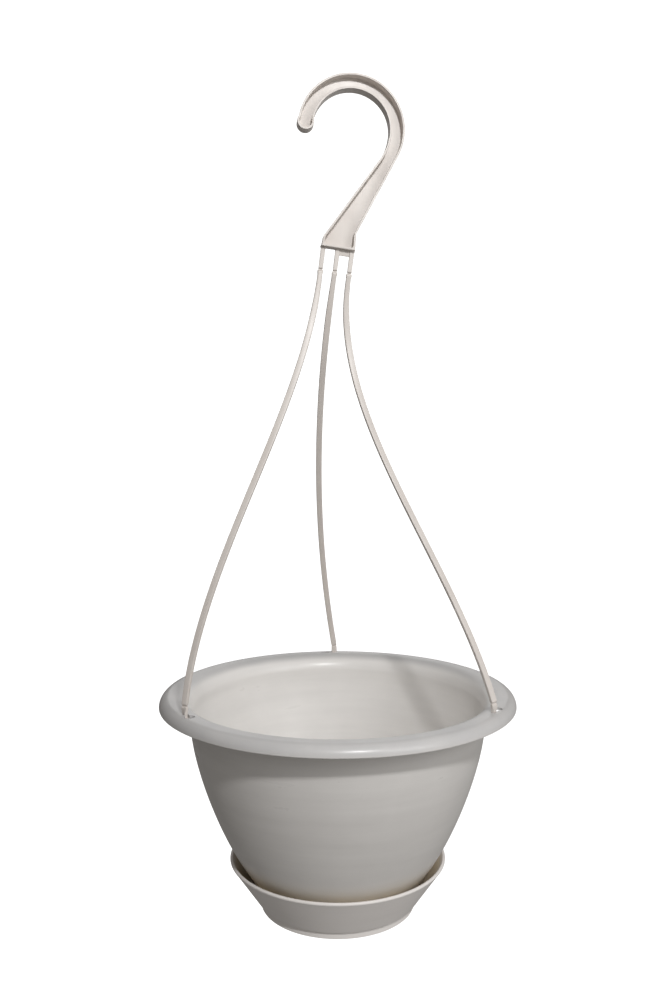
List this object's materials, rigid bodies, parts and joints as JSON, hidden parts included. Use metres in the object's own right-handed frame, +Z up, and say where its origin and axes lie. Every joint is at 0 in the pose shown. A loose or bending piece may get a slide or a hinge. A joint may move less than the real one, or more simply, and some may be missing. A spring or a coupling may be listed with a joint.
{
  "type": "hanging basket",
  "caption": "Moulded plastic hanging plant pot with a rolled rim, a clip-on drip saucer, and a hook that carries it on curved strands locked in keyhole slots.",
  "frame": {"origin": "seat of the hook: the point of the crown's inner face that rests on a rail, straight above the pot's axis", "axes": "+Z up, -Y towards the front of the basket, the hook opens to -X"},
  "size_m": [0.254, 0.254, 0.5877],
  "materials": {
    "hanger_plastic": "warm cream moulded polypropylene, satin",
    "pot_plastic": "off-white moulded polypropylene, satin",
    "saucer_plastic": "off-white moulded polypropylene, satin"
  },
  "bodies": {
    "hook": {"hook": "hanger_plastic"},
    "strands": {"strand_left": "hanger_plastic", "strand_right": "hanger_plastic", "strand_back": "hanger_plastic", "rim_anchor_left": "hanger_plastic", "rim_anchor_right": "hanger_plastic", "rim_anchor_back": "hanger_plastic"},
    "pot": {"pot": "pot_plastic"},
    "saucer": {"saucer": "saucer_plastic"}
  },
  "joints": [
    {"name": "basket_swing", "type": "hinge", "parent": "hook", "child": "strands", "pos_m": [-0.00204, -0.00021, -0.12212], "axis": [0.986, 0.1036, -0.1305], "range_deg": [-60, 60]},
    {"name": "rim_lock_turn", "type": "hinge", "parent": "strands", "child": "pot", "pos_m": [0, 0, -0.41905], "axis": [0, 0, -1], "range_deg": [0, 3.65]},
    {"name": "saucer_pull_off", "type": "slide", "parent": "pot", "child": "saucer", "axis": [0, 0, -1], "range_m": [0, 0.06]}
  ]
}
